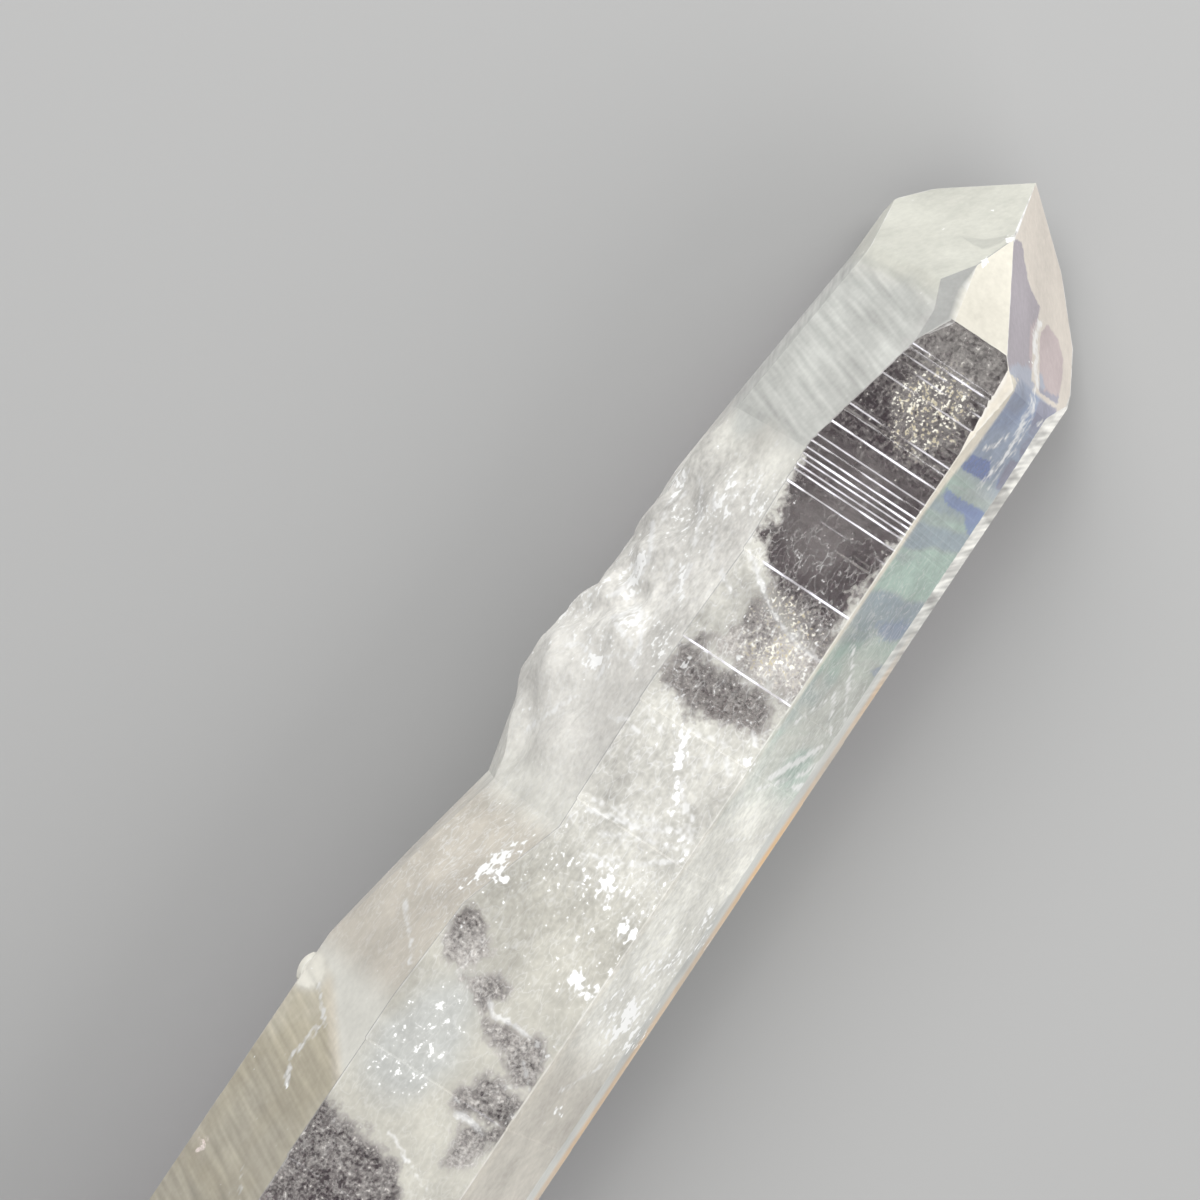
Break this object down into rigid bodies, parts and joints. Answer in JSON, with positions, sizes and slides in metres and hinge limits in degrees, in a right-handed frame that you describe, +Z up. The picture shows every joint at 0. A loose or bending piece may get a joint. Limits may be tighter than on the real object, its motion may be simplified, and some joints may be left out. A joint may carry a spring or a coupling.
{
  "type": "lemurian quartz crystal",
  "caption": "Long six-sided quartz crystal with a pointed tip, cross-ledged faces, a rough milky shoulder and a broken base, lying on its flat back face.",
  "frame": {"origin": "on the surface the crystal lies on, under the middle of its outline seen from above", "axes": "+Y along the crystal from the broken base to the tip, +Z up out of the clear front face, +X to the right when seen from above with the tip away from the viewer"},
  "size_m": [0.026, 0.123, 0.0215],
  "materials": {
    "quartz": "natural clear quartz: glassy faces with fine cross striations, milky veils inside, frosted on the left side and broken surfaces"
  },
  "bodies": {
    "root": {"crystal": "quartz"}
  },
  "joints": []
}
